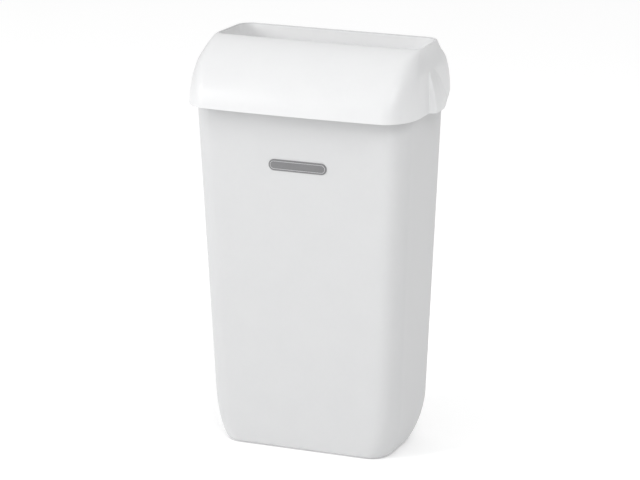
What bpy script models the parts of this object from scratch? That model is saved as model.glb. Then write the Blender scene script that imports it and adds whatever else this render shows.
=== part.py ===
"""A hooded washroom waste bin: a tapered tub, a lift-off hood, an inner bag ring, a wall hook,
a blank name plate and four foot pads.

The frame: +X to the right, -Y to the front, +Z up, origin on the floor under the middle of the
overall box. Lengths are in metres.
"""

import math

import bmesh
import bpy
import numpy as np
from mathutils import Matrix, Vector

# Driving sizes
OVERALL_HEIGHT = 0.567
TUB_TOP_WIDTH = 0.3114
TUB_TOP_DEPTH = 0.1538

# Clearances
SEAT_GAP = 0.0003
LID_CLEARANCE = 0.001
RING_CLEARANCE = 0.001
HOOK_CLEARANCE = 0.002

# Hood lid
HOOD_HEIGHT = 0.0845
HOOD_BELOW_TUB_RIM = 0.0075
HOOD_SIDE_OVERHANG = 0.0083
HOOD_FRONT_OVERHANG = 0.0212
HOOD_BOW = 0.0055
HOOD_SKIN = 0.0025
HOOD_CORNER = 0.0365
HOOD_REAR_CORNER = 0.012
HOOD_REAR_RISE = 0.026
HOOD_BACK_RISE = 0.010
RISE_BLEND = 0.040
RISE_BLEND_IN = 0.049
RISE_LENGTH = 0.0255
RISE_POWER = 1.2
RIM_SIDE_INSET = 0.0148
RIM_FRONT_INSET = 0.0881
RIM_BOW = 0.0036
RIM_NARROWING = 0.0025
RIM_CORNER = 0.0115
RIM_REAR_CORNER = 0.021
CORNER_STRETCH = 1.42
CORNER_POWER = 1.5
RIM_LIP = 0.0045
PROFILE_POWER = 4.0 / 3.0
SIDE_HOLD = 0.54
SIDE_HOLD_COSINE = 0.62
PROFILE_STEPS = 10
FIRST_INNER_STEP = 3

# Finger grips in the hood's sides
GRIP_OUT = 0.0095
GRIP_HEIGHT = 0.056
GRIP_FROM_REAR = 0.0665
GRIP_FRONT_REACH = 0.0255
GRIP_REAR_REACH = 0.043
GRIP_FRONT_POWER = 3.5
GRIP_REAR_POWER = 1.4
GRIP_FLANK = 0.55

# Collar that hangs in the hood's mouth, and the ribs that carry the hood
COLLAR_DROP = 0.058
COLLAR_WALL = 0.0022
COLLAR_SETBACK = 0.0012
COLLAR_BELOW_RIM = 0.002
RIB_THICKNESS = 0.0024
RIB_HEIGHT = 0.036
RIB_COLLAR_LAP = 0.002
SIDE_RIB_FROM_REAR = 0.110
FRONT_RIB_SPACING = 0.190

# Tub
TUB_SIDE_TAPER = 0.0216
TUB_FRONT_TAPER = 0.019
TUB_WALL = 0.0028
TUB_FLOOR = 0.0045
TUB_CORNER = 0.0288
TUB_REAR_CORNER = 0.0176
SIDE_ARC_HEIGHT = 0.0697
SIDE_ARC_INSET = 0.0142
REAR_ARC_HEIGHT = 0.073
REAR_ARC_INSET = 0.040
ARC_REACH = 0.75
FOOT_EDGE = 0.004
FLANGE_OUT = 0.004
FLANGE_HEIGHT = 0.004

# Bag ring
RING_FLANGE = 0.0025
RING_WALL = 0.0022
RING_DROP = 0.030

# Foot pads
PAD_RADIUS = 0.008
PAD_THICKNESS = 0.0025
PAD_STANDOUT = 0.001
PAD_SIDE_INSET = 0.030
PAD_FRONT_INSET = 0.020
PAD_REAR_INSET = 0.020

# Wall hook
HOOK_WIDTH = 0.060
HOOK_PLATE_HEIGHT = 0.046
HOOK_SHEET = 0.0016
HOOK_TONGUE = 0.012
HOOK_BELOW_RIM = 0.075
HOOK_TRAVEL = 0.012
HOOK_HOLE_RADIUS = 0.0023
HOOK_HOLE_SPACING = 0.036

# Name plate
PLATE_WIDTH = 0.084
PLATE_HEIGHT = 0.0155
PLATE_THICKNESS = 0.0008
PLATE_CENTRE_HEIGHT = 0.4075

# Sizes and places that follow
TUB_BASE_WIDTH = TUB_TOP_WIDTH - 2.0 * TUB_SIDE_TAPER
TUB_BASE_DEPTH = TUB_TOP_DEPTH - TUB_FRONT_TAPER
HOOD_WIDTH = TUB_TOP_WIDTH + 2.0 * HOOD_SIDE_OVERHANG
HOOD_DEPTH = TUB_TOP_DEPTH + HOOD_FRONT_OVERHANG + HOOD_SKIN + LID_CLEARANCE
RIM_WIDTH = HOOD_WIDTH - 2.0 * RIM_SIDE_INSET
RIM_DEPTH = HOOD_DEPTH - RIM_FRONT_INSET
REAR_Y = (HOOD_DEPTH + HOOD_BOW) / 2.0
TUB_REAR_Y = REAR_Y - HOOD_SKIN - LID_CLEARANCE
TUB_BASE_Z = PAD_STANDOUT
HOOD_LOW_Z = OVERALL_HEIGHT - HOOD_HEIGHT
TUB_TOP = HOOD_LOW_Z + HOOD_BELOW_TUB_RIM
COLLAR_LOW_Z = OVERALL_HEIGHT - COLLAR_DROP
RING_TOP_Z = TUB_TOP + SEAT_GAP + RING_FLANGE

WHITE_TUB = ("white_tub", (0.86, 0.865, 0.87, 1.0), 0.32, 0.0)
WHITE_HOOD = ("white_hood", (0.88, 0.885, 0.89, 1.0), 0.28, 0.0)
WHITE_RING = ("white_ring", (0.80, 0.81, 0.82, 1.0), 0.45, 0.0)
GREY_PLATE = ("grey_plate", (0.20, 0.20, 0.205, 1.0), 0.40, 0.0)
ZINC_STEEL = ("zinc_steel", (0.60, 0.61, 0.63, 1.0), 0.35, 1.0)
GREY_RUBBER = ("grey_rubber", (0.22, 0.22, 0.22, 1.0), 0.75, 0.0)

CORNER_POINTS = 8
REAR_CORNER_POINTS = 5
FRONT_POINTS = 9
SIDE_POINTS = 21
REAR_POINTS = 11


def clear_scene():
    for obj in list(bpy.data.objects):
        bpy.data.objects.remove(obj, do_unlink=True)


def material(finish):
    name, colour, roughness, metallic = finish
    made = bpy.data.materials.get(name)
    if made is None:
        made = bpy.data.materials.new(name)
        made.use_nodes = True
        shader = made.node_tree.nodes["Principled BSDF"]
        shader.inputs["Base Color"].default_value = colour
        shader.inputs["Roughness"].default_value = roughness
        shader.inputs["Metallic"].default_value = metallic
        made.diffuse_color = colour
    return made


def link(name, mesh, finish):
    obj = bpy.data.objects.new(name, mesh)
    mesh.materials.append(material(finish))
    bpy.context.scene.collection.objects.link(obj)
    return obj


def smooth(obj, degrees=35.0):
    obj.data.shade_smooth()
    obj.data.set_sharp_from_angle(angle=math.radians(degrees))


def arc(centre_x, centre_y, radius, start_degrees, end_degrees, count, stretch=1.0):
    """Points of an arc, counted from start to end, both ends included, stretched along Y."""
    angles = np.radians(np.linspace(start_degrees, end_degrees, count))
    return np.stack([centre_x + radius * np.cos(angles), centre_y + radius * stretch * np.sin(angles)], axis=1)


def outline(half, half_rear, front, rear, corner, rear_corner, bow, stretch=1.0):
    """A rounded oblong seen from above, anticlockwise from the front left corner.

    half and half_rear are its half widths at the front and the rear, front and rear its places
    along Y. The front edge swells forward by bow in its middle, and the front corners are
    stretched along Y.
    """
    corner_y = front + corner * stretch
    left_front = arc(-half + corner, corner_y, corner, 180.0, 270.0, CORNER_POINTS, stretch)
    right_front = arc(half - corner, corner_y, corner, 270.0, 360.0, CORNER_POINTS, stretch)
    right_rear = arc(half_rear - rear_corner, rear - rear_corner, rear_corner, 0.0, 90.0, REAR_CORNER_POINTS)
    left_rear = arc(-half_rear + rear_corner, rear - rear_corner, rear_corner, 90.0, 180.0, REAR_CORNER_POINTS)
    front_edge = between(left_front[-1], right_front[0], FRONT_POINTS)
    right_edge = between(right_front[-1], right_rear[0], SIDE_POINTS)
    rear_edge = between(right_rear[-1], left_rear[0], REAR_POINTS)
    left_edge = between(left_rear[-1], left_front[0], SIDE_POINTS)
    points = np.concatenate(
        [left_front, front_edge, right_front, right_edge, right_rear, rear_edge, left_rear, left_edge]
    )
    across = np.clip(1.0 - (points[:, 0] / half) ** 2, 0.0, 1.0)
    forward = np.clip((rear - points[:, 1]) / (rear - front), 0.0, 1.0) ** 3
    points[:, 1] -= bow * across * forward
    return points


def between(start, end, count):
    """The inner points of a straight edge, its ends left out."""
    shares = np.linspace(0.0, 1.0, count + 2)[1:-1, None]
    return start + (end - start) * shares


def raised(points, height):
    """A flat outline lifted to a height, which may be one value or one for each point."""
    return np.column_stack([points, np.broadcast_to(height, len(points))])


def loft(name, rings, finish, closed_loop=False):
    """A closed skin through rings of equal length, each anticlockwise from above.

    The rings run up the outside. With closed_loop they return down the inside to the first ring;
    otherwise the first and the last ring are filled.
    """
    count = len(rings[0])
    mesh = bpy.data.meshes.new(name)
    verts = np.concatenate(rings)
    faces = []
    last = len(rings) if closed_loop else len(rings) - 1
    for ring in range(last):
        above = (ring + 1) % len(rings)
        for i in range(count):
            j = (i + 1) % count
            faces.append((ring * count + i, ring * count + j, above * count + j, above * count + i))
    if not closed_loop:
        faces.append(tuple(reversed(range(count))))
        faces.append(tuple(range((len(rings) - 1) * count, len(rings) * count)))
    mesh.from_pydata(verts.tolist(), [], faces)
    mesh.update()
    return link(name, mesh, finish)


def extruded(name, profile, start, end, place, finish):
    """A flat anticlockwise profile pushed from start to end, its two ends filled.

    place turns (u, v, w) into a point, where w runs along the push.
    """
    count = len(profile)
    verts = [place(u, v, start) for u, v in profile] + [place(u, v, end) for u, v in profile]
    faces = [tuple(reversed(range(count))), tuple(range(count, 2 * count))]
    for i in range(count):
        j = (i + 1) % count
        faces.append((i, j, count + j, count + i))
    mesh = bpy.data.meshes.new(name)
    mesh.from_pydata(verts, [], faces)
    mesh.update()
    shell = bmesh.new()
    shell.from_mesh(mesh)
    bmesh.ops.recalc_face_normals(shell, faces=shell.faces)
    shell.to_mesh(mesh)
    shell.free()
    return link(name, mesh, finish)


def helper(obj):
    obj.hide_render = True
    obj.display_type = "WIRE"
    return obj


def boolean(obj, tool, operation):
    modifier = obj.modifiers.new(f"{operation.lower()} {tool.name}", "BOOLEAN")
    modifier.operation = operation
    modifier.solver = "EXACT"
    modifier.object = helper(tool)


def cylinder(name, radius, low, high, x, y, finish, sides=24):
    ring = arc(x, y, radius, 0.0, 360.0 * (sides - 1) / sides, sides)
    obj = loft(name, [raised(ring, low), raised(ring, high)], finish)
    smooth(obj)
    return obj


# Hood lid


def hood_outline(angle, grow=0.0):
    """The hood's outline at an angle of its flare: 0 at the rim, a quarter turn at the lower edge.

    The front follows a power of the sine. The sides start more slowly and then catch up. grow
    moves the outline outwards by that much, or inwards if it is negative.
    """
    share = math.sin(angle) ** PROFILE_POWER
    side = side_share(angle)
    half = (RIM_WIDTH + (HOOD_WIDTH - RIM_WIDTH) * side) / 2.0 + grow
    depth = RIM_DEPTH + (HOOD_DEPTH - RIM_DEPTH) * share
    corner = RIM_CORNER + (HOOD_CORNER - RIM_CORNER) * share**CORNER_POWER + grow
    rear_corner = RIM_REAR_CORNER + (HOOD_REAR_CORNER - RIM_REAR_CORNER) * side + grow
    bow = RIM_BOW + (HOOD_BOW - RIM_BOW) * share
    half_rear = half - RIM_NARROWING * (1.0 - side)
    return outline(
        half, half_rear, REAR_Y - depth - grow, REAR_Y + grow, corner, rear_corner, bow, CORNER_STRETCH
    )


def side_share(angle):
    """How far the flare of the sides has got at an angle: the sine's power, held back near the rim."""
    near_rim = (math.cos(angle) - SIDE_HOLD_COSINE) / (1.0 - SIDE_HOLD_COSINE)
    return math.sin(angle) ** PROFILE_POWER * (1.0 - SIDE_HOLD * eased(near_rim))


def eased(share):
    """A smooth step from 0 to 1."""
    share = np.clip(share, 0.0, 1.0)
    return share * share * (3.0 - 2.0 * share)


def rear_rise(x, y):
    """How far the hood's lower edge is lifted: most at the rear corners, less along the back wall."""
    share = np.clip((y - (REAR_Y - RISE_LENGTH)) / RISE_LENGTH, 0.0, 1.0)
    at_corner = eased((np.abs(x) - (RIM_WIDTH / 2.0 - RISE_BLEND_IN)) / RISE_BLEND)
    return share**RISE_POWER * (HOOD_BACK_RISE + (HOOD_REAR_RISE - HOOD_BACK_RISE) * at_corner)


def grip_bulge(y, z):
    """How far a finger grip stands out: a pocket with a steep front flank that slopes away behind.

    It is furthest out at the lower edge. Its front and its rear each narrow upwards to an apex.
    """
    up = np.clip((z - HOOD_LOW_Z) / GRIP_HEIGHT, 0.0, 1.0)
    offset = y - (REAR_Y - GRIP_FROM_REAR)
    front_reach = GRIP_FRONT_REACH * (1.0 - up**GRIP_FRONT_POWER) ** (1.0 / GRIP_FRONT_POWER)
    rear_reach = GRIP_REAR_REACH * (1.0 - up**GRIP_REAR_POWER) ** (1.0 / GRIP_REAR_POWER)
    ahead = np.clip(-offset / np.maximum(front_reach, 1e-6), 0.0, 1.0)
    behind = np.clip(offset / np.maximum(rear_reach, 1e-6), 0.0, 1.0)
    front = eased((1.0 - ahead**GRIP_FRONT_POWER) / GRIP_FLANK)
    return GRIP_OUT * (1.0 - up**2) * front * (1.0 - behind**GRIP_REAR_POWER)


def hood_ring(angle):
    """One level of the hood's outside, without the grips."""
    flat = hood_outline(angle)
    height = HOOD_HEIGHT - rear_rise(flat[:, 0], flat[:, 1])
    return raised(flat, OVERALL_HEIGHT - height * (1.0 - math.cos(angle)))


def grip_shift(grid):
    """The sideways shift that the grips give each point of a grid of rings."""
    on_side = np.abs(grid[:, :, 0]) > RIM_WIDTH / 2.0 - RIM_NARROWING
    shift = np.zeros_like(grid)
    shift[:, :, 0] = np.sign(grid[:, :, 0]) * grip_bulge(grid[:, :, 1], grid[:, :, 2]) * on_side
    return shift


def inward(grid, distance):
    """The grid of rings moved inwards by a distance along its own normals."""
    along = np.roll(grid, -1, axis=1) - np.roll(grid, 1, axis=1)
    down = np.gradient(grid, axis=0)
    normals = np.cross(down, along)
    normals /= np.linalg.norm(normals, axis=2, keepdims=True)
    return grid - normals * distance


def hood_reach(z, rim_reach, full_reach):
    """How far the hood's skin reaches at a height, between its reach at the rim and at its edge."""
    angle = math.acos(1.0 - (OVERALL_HEIGHT - z) / HOOD_HEIGHT)
    return rim_reach + (full_reach - rim_reach) * math.sin(angle) ** PROFILE_POWER


def hood_rib(name, rim_reach, full_reach, collar_reach, seat_reach, place):
    """A plate from the collar to the hood's skin. It arches over the bag's mouth and stands on the ring."""
    low = RING_TOP_Z + SEAT_GAP
    heights = np.linspace(low, low + RIB_HEIGHT, 6)
    skin = [(hood_reach(z, rim_reach, full_reach) - HOOD_SKIN / 2.0, z) for z in heights]
    arch_z = COLLAR_LOW_Z + RIB_COLLAR_LAP
    arch = [(collar_reach, arch_z), (seat_reach, arch_z), (seat_reach, low)]
    profile = arch + skin + [(collar_reach, low + RIB_HEIGHT)]
    return extruded(name, profile, -RIB_THICKNESS / 2.0, RIB_THICKNESS / 2.0, place, WHITE_HOOD)


def make_hood():
    angles = [math.pi / 2.0 * step / PROFILE_STEPS for step in range(PROFILE_STEPS + 1)]
    plain = np.array([hood_ring(angle) for angle in angles])
    grips = grip_shift(plain)
    outside = plain + grips
    inside = inward(plain, HOOD_SKIN) + grips
    inside[-1, :, 2] = outside[-1, :, 2]
    lip = hood_outline(0.0, -HOOD_SKIN)
    rings = [ring for ring in outside[::-1]]
    rings.append(raised(lip, OVERALL_HEIGHT))
    rings.append(raised(lip, OVERALL_HEIGHT - RIM_LIP))
    rings.extend(inside[FIRST_INNER_STEP:])
    hood = loft("hood_lid", rings, WHITE_HOOD, closed_loop=True)

    outer = hood_outline(0.0, -COLLAR_SETBACK)
    inner = hood_outline(0.0, -COLLAR_SETBACK - COLLAR_WALL)
    top = OVERALL_HEIGHT - COLLAR_BELOW_RIM
    collar_rings = [raised(outer, COLLAR_LOW_Z), raised(outer, top)]
    collar_rings += [raised(inner, top), raised(inner, COLLAR_LOW_Z)]
    collar = loft("collar_tool", collar_rings, WHITE_HOOD, closed_loop=True)
    boolean(hood, collar, "UNION")

    collar_middle = COLLAR_SETBACK + COLLAR_WALL / 2.0
    front_seat = REAR_Y - TUB_REAR_Y + TUB_TOP_DEPTH - TUB_WALL
    swell = 1.0 - (FRONT_RIB_SPACING / HOOD_WIDTH) ** 2
    side_y = REAR_Y - SIDE_RIB_FROM_REAR
    for sign, side in ((-1.0, "left"), (1.0, "right")):
        rib = hood_rib(
            f"rib_{side}_tool",
            RIM_WIDTH / 2.0,
            HOOD_WIDTH / 2.0,
            RIM_WIDTH / 2.0 - collar_middle,
            TUB_TOP_WIDTH / 2.0 - TUB_WALL,
            lambda u, v, w, sign=sign: (sign * u, side_y + w, v),
        )
        boolean(hood, rib, "UNION")
        front_x = sign * FRONT_RIB_SPACING / 2.0
        rib = hood_rib(
            f"rib_front_{side}_tool",
            RIM_DEPTH + RIM_BOW * swell,
            HOOD_DEPTH + HOOD_BOW * swell,
            RIM_DEPTH + RIM_BOW * swell - collar_middle,
            front_seat,
            lambda u, v, w, front_x=front_x: (front_x + w, REAR_Y - u, v),
        )
        boolean(hood, rib, "UNION")
    smooth(hood)
    return hood


# Tub


def arc_inset(z, height, inset):
    """How far a curved foot is drawn in at a height above the base: a slice of an ellipse."""
    share = np.clip((height - z) / height, 0.0, 1.0)
    full = 1.0 - math.sqrt(1.0 - ARC_REACH)
    return inset * (1.0 - np.sqrt(1.0 - ARC_REACH * share**2)) / full


def tub_outline(z, grow=0.0, rear_grow=None):
    """The tub's outline at a height, moved outwards by grow, its back wall by rear_grow."""
    rear_grow = grow if rear_grow is None else rear_grow
    share = z / TUB_TOP
    width = TUB_BASE_WIDTH + (TUB_TOP_WIDTH - TUB_BASE_WIDTH) * share
    depth = TUB_BASE_DEPTH + (TUB_TOP_DEPTH - TUB_BASE_DEPTH) * share
    half = width / 2.0 - arc_inset(z, SIDE_ARC_HEIGHT, SIDE_ARC_INSET) + grow
    rear = TUB_REAR_Y - arc_inset(z, REAR_ARC_HEIGHT, REAR_ARC_INSET) + rear_grow
    return outline(
        half, half, TUB_REAR_Y - depth - grow, rear, TUB_CORNER + grow, TUB_REAR_CORNER + grow, 0.0
    )


def make_tub():
    low_levels = [0.10 * TUB_TOP * (step / 6.0) ** 1.3 for step in range(1, 7)]
    arc_levels = [level + FOOT_EDGE for level in low_levels] + [0.135 * TUB_TOP, 0.155 * TUB_TOP]
    levels = arc_levels + [0.35 * TUB_TOP, 0.65 * TUB_TOP, TUB_TOP - FLANGE_HEIGHT - FLANGE_OUT]
    rings = [raised(tub_outline(0.0, -FOOT_EDGE), TUB_BASE_Z)]
    rings.append(raised(tub_outline(0.0, -FOOT_EDGE * 0.3), TUB_BASE_Z + FOOT_EDGE * 0.3))
    rings.append(raised(tub_outline(FOOT_EDGE), TUB_BASE_Z + FOOT_EDGE))
    rings += [raised(tub_outline(z), z) for z in levels]
    rings.append(raised(tub_outline(TUB_TOP - FLANGE_HEIGHT, FLANGE_OUT, 0.0), TUB_TOP - FLANGE_HEIGHT))
    rings.append(raised(tub_outline(TUB_TOP, FLANGE_OUT, 0.0), TUB_TOP))
    rings.append(raised(tub_outline(TUB_TOP, -TUB_WALL), TUB_TOP))
    for z in reversed(levels):
        rings.append(raised(tub_outline(z, -TUB_WALL), z + TUB_FLOOR * (1.0 - z / TUB_TOP)))
    inner_floor = TUB_BASE_Z + TUB_FLOOR
    rings.append(raised(tub_outline(FOOT_EDGE, -TUB_WALL - FOOT_EDGE), inner_floor))
    tub = loft("bin_body", rings, WHITE_TUB)
    smooth(tub)

    for name, x, y in pad_places():
        recess = cylinder(
            f"recess_{name}_tool",
            PAD_RADIUS + SEAT_GAP,
            0.0,
            PAD_THICKNESS + SEAT_GAP,
            x,
            y,
            WHITE_TUB,
        )
        boolean(tub, recess, "DIFFERENCE")
    boolean(tub, hook_slot(), "DIFFERENCE")
    return tub


# Bag ring


def make_bag_ring():
    low = TUB_TOP + SEAT_GAP
    drop = TUB_TOP - RING_DROP
    outer = tub_outline(TUB_TOP, FLANGE_OUT, 0.0)
    neck = tub_outline(TUB_TOP, -TUB_WALL - RING_CLEARANCE)
    throat = tub_outline(TUB_TOP, -TUB_WALL - RING_CLEARANCE - RING_WALL)
    low_neck = tub_outline(drop, -TUB_WALL - RING_CLEARANCE)
    low_throat = tub_outline(drop, -TUB_WALL - RING_CLEARANCE - RING_WALL)
    rings = [
        raised(low_neck, drop),
        raised(neck, low),
        raised(outer, low),
        raised(outer, RING_TOP_Z),
        raised(throat, RING_TOP_Z),
        raised(low_throat, drop),
    ]
    ring = loft("bag_ring", rings, WHITE_RING, closed_loop=True)
    smooth(ring)
    return ring


# Foot pads


def pad_places():
    half = TUB_BASE_WIDTH / 2.0 - SIDE_ARC_INSET - PAD_SIDE_INSET
    front = TUB_REAR_Y - TUB_BASE_DEPTH + PAD_FRONT_INSET
    rear = TUB_REAR_Y - REAR_ARC_INSET - PAD_REAR_INSET
    return [
        ("front_left", -half, front),
        ("front_right", half, front),
        ("rear_left", -half, rear),
        ("rear_right", half, rear),
    ]


def make_pads():
    return [
        cylinder(f"foot_pad_{name}", PAD_RADIUS, 0.0, PAD_THICKNESS, x, y, GREY_RUBBER)
        for name, x, y in pad_places()
    ]


# Wall hook


def hook_heights():
    """The hook's own heights: the plate's top, where the tongue leaves it, and the tongue's tip."""
    plate_top = TUB_TOP - HOOK_BELOW_RIM
    fold = plate_top - HOOK_SHEET
    return plate_top, fold, plate_top + HOOK_TONGUE


def hook_slot():
    """The slot in the tub's back wall that the tongue passes through and slides down in."""
    plate_top, fold, _ = hook_heights()
    half = HOOK_WIDTH / 2.0 + HOOK_CLEARANCE
    low = fold - HOOK_TRAVEL - SEAT_GAP
    high = plate_top + SEAT_GAP
    corners = [
        (TUB_REAR_Y - TUB_WALL * 2.0, low),
        (TUB_REAR_Y + TUB_WALL, low),
        (TUB_REAR_Y + TUB_WALL, high),
        (TUB_REAR_Y - TUB_WALL * 2.0, high),
    ]
    return extruded("hook_slot_tool", corners, -half, half, lambda u, v, w: (w, u, v), WHITE_TUB)


def make_wall_hook():
    """A folded steel plate: it lies on the wall, passes through the slot and turns up inside."""
    plate_top, fold, tip = hook_heights()
    back = REAR_Y
    face = back - HOOK_SHEET
    inside = TUB_REAR_Y - TUB_WALL - SEAT_GAP
    far = inside - HOOK_SHEET
    profile = [
        (back, plate_top - HOOK_PLATE_HEIGHT),
        (back, plate_top),
        (inside, plate_top),
        (inside, tip),
        (far, tip),
        (far, fold),
        (face, fold),
        (face, plate_top - HOOK_PLATE_HEIGHT),
    ]
    half = HOOK_WIDTH / 2.0
    hook = extruded("wall_hook", profile, -half, half, lambda u, v, w: (w, u, v), ZINC_STEEL)
    hole_z = fold - (HOOK_PLATE_HEIGHT - HOOK_SHEET) / 2.0
    for index, sign in enumerate((-1.0, 1.0)):
        hole = cylinder(
            f"hook_hole_{index}_tool",
            HOOK_HOLE_RADIUS,
            -HOOK_SHEET * 2.0,
            HOOK_SHEET * 2.0,
            0.0,
            0.0,
            ZINC_STEEL,
            sides=16,
        )
        hole.rotation_euler = (math.radians(90.0), 0.0, 0.0)
        hole.location = (sign * HOOK_HOLE_SPACING / 2.0, back - HOOK_SHEET / 2.0, hole_z)
        boolean(hook, hole, "DIFFERENCE")
    smooth(hook)
    return hook


# Name plate


def make_name_plate():
    """A blank plate with round ends, lying on the tub's sloping front face."""
    radius = PLATE_HEIGHT / 2.0
    half = PLATE_WIDTH / 2.0 - radius
    flat = np.concatenate(
        [arc(half, 0.0, radius, -90.0, 90.0, 9), arc(-half, 0.0, radius, 90.0, 270.0, 9)]
    )
    plate = loft("name_plate", [raised(flat, 0.0), raised(flat, PLATE_THICKNESS)], GREY_PLATE)
    smooth(plate)
    slope = math.atan2(TUB_TOP_DEPTH - TUB_BASE_DEPTH, TUB_TOP)
    share = PLATE_CENTRE_HEIGHT / TUB_TOP
    face_y = TUB_REAR_Y - TUB_BASE_DEPTH - (TUB_TOP_DEPTH - TUB_BASE_DEPTH) * share
    out = Vector((0.0, -math.cos(slope), -math.sin(slope)))
    up = Vector((0.0, -math.sin(slope), math.cos(slope)))
    turn = Matrix((Vector((1.0, 0.0, 0.0)), up, out)).transposed()
    spot = Vector((0.0, face_y, PLATE_CENTRE_HEIGHT)) + out * SEAT_GAP
    plate.matrix_world = Matrix.Translation(spot) @ turn.to_4x4()
    return plate


def joint_empty(name, place, children):
    """An empty on a joint's axis, which carries the pieces that move on it."""
    empty = bpy.data.objects.new(name, None)
    bpy.context.scene.collection.objects.link(empty)
    empty.location = place
    for child in children:
        child.parent = empty
        child.matrix_parent_inverse = Matrix.Translation(place).inverted()
    return empty


def main():
    clear_scene()
    make_tub()
    ring = make_bag_ring()
    hood = make_hood()
    hook = make_wall_hook()
    make_pads()
    make_name_plate()
    joint_empty("ring_lift_axis", Vector((0.0, 0.0, TUB_TOP)), [ring])
    joint_empty("lid_lift_axis", Vector((0.0, 0.0, RING_TOP_Z)), [hood])
    joint_empty("hook_slide_axis", Vector((0.0, TUB_REAR_Y, hook_heights()[0])), [hook])


main()
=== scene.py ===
"""Looks for a hooded washroom waste bin: moulded shells, steel hook, rubber pads, studio and camera.

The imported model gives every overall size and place. Each sub-assembly below is a class that holds
its own smaller sizes in metres, builds its meshes as numpy grids and dresses them.
"""

import logging
import math
from dataclasses import dataclass, field
from enum import Enum

import bmesh
import bpy
import numpy as np
from mathutils import Matrix, Vector


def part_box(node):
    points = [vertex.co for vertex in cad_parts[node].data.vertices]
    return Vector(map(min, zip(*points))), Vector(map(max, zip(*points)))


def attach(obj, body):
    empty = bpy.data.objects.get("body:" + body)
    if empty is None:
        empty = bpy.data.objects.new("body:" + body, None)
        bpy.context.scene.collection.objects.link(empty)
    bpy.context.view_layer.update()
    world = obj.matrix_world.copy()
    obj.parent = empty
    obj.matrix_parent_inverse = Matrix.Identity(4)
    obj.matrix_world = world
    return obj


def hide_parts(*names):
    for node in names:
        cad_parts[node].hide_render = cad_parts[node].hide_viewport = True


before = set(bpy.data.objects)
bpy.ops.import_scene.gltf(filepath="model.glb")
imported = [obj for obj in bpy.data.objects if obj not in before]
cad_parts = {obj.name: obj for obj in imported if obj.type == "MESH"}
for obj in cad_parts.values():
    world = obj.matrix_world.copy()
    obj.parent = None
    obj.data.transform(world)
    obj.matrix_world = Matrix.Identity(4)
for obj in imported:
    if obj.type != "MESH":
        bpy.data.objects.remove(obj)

LOG = logging.getLogger("bin")
QUARTER = math.pi / 2.0
SHARP_ANGLE = math.radians(40.0)
ROUND_STEPS = 6

Tree = bpy.types.NodeTree
Socket = bpy.types.NodeSocket
Piece = bpy.types.Object


class Body(Enum):
    """The bodies that the pieces ride on."""

    TUB = "tub"
    RING = "ring"
    LID = "lid"
    HOOK = "hook"


# Finishes

# Where a noise's value mostly lies.
NOISE_SPAN = (0.3, 0.7)


@dataclass(frozen=True)
class Finish:
    """A surface finish. The subclasses add what their own material shows."""

    name: str
    slot: str
    colour: tuple[float, float, float]
    roughness: float

    def build(self) -> bpy.types.Material:
        """Make the material with its nodes.

        Returns:
            The new material.
        """
        made = bpy.data.materials.new(self.name)
        made.use_nodes = True
        made.diffuse_color = (*self.colour, 1.0)
        self.dress(made.node_tree)
        return made

    def dress(self, tree: Tree) -> None:
        """Add this finish's own nodes; the plain finish has none."""
        shader_of(tree).inputs["Roughness"].default_value = self.roughness


@dataclass(frozen=True)
class MouldedPlastic(Finish):
    """Injection-moulded plastic: a fine spark grain, slow tone drift and a varying satin gloss."""

    tint: tuple[float, float, float] = (0.8, 0.8, 0.8)
    grain_size: float = 0.0009
    grain_depth: float = 0.00002
    ripple_size: float = 0.05
    ripple_depth: float = 0.00006
    gloss_drift: float = 0.04
    speck_share: float = 0.35

    def dress(self, tree: Tree) -> None:
        """Add drifting colour and gloss, and a bump of grain over long sink ripples.

        Args:
            tree: The material's node tree.
        """
        shader = shader_of(tree)
        place = object_coordinates(tree)
        drift = noise(tree, place, 1.0 / self.ripple_size, detail=2.0)
        speck = noise(tree, place, 1.0 / (self.grain_size * 6.0), detail=3.0)
        both = mix_values(tree, drift, speck, self.speck_share)
        colour = ramp(tree, both, [(0.35, self.tint), (0.65, self.colour)])
        link(tree, colour, shader.inputs["Base Color"])
        low, high = self.roughness - self.gloss_drift, self.roughness + self.gloss_drift
        link(tree, map_range(tree, both, *NOISE_SPAN, low, high), shader.inputs["Roughness"])
        grain = noise(tree, place, 1.0 / self.grain_size, detail=2.0)
        ripple = noise(tree, place, 1.0 / self.ripple_size, detail=0.0)
        first = bump(tree, ripple, self.ripple_depth, None)
        link(tree, bump(tree, grain, self.grain_depth, first), shader.inputs["Normal"])


@dataclass(frozen=True)
class PlatedSteel(Finish):
    """Zinc-plated sheet steel: rolled streaks along X, crystals of tone and light scratches."""

    streak: tuple[float, float, float] = (0.4, 0.41, 0.43)
    streak_scale: tuple[float, float, float] = (30.0, 900.0, 900.0)
    cloud_scale: float = 160.0
    cloud_share: float = 0.4
    smoother: float = 0.08
    rougher: float = 0.12
    streak_depth: float = 0.00002

    def dress(self, tree: Tree) -> None:
        """Add streaked colour and roughness, and a fine bump.

        Args:
            tree: The material's node tree.
        """
        shader = shader_of(tree)
        place = object_coordinates(tree)
        stretched = mapping(tree, place, self.streak_scale)
        streaks = noise(tree, stretched, 1.0, detail=4.0)
        clouds = noise(tree, place, self.cloud_scale, detail=3.0)
        both = mix_values(tree, streaks, clouds, self.cloud_share)
        colour = ramp(tree, both, [(0.35, self.streak), (0.65, self.colour)])
        link(tree, colour, shader.inputs["Base Color"])
        low, high = self.roughness - self.smoother, self.roughness + self.rougher
        link(tree, map_range(tree, both, *NOISE_SPAN, low, high), shader.inputs["Roughness"])
        link(tree, bump(tree, streaks, self.streak_depth, None), shader.inputs["Normal"])
        shader.inputs["Metallic"].default_value = 1.0


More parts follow.
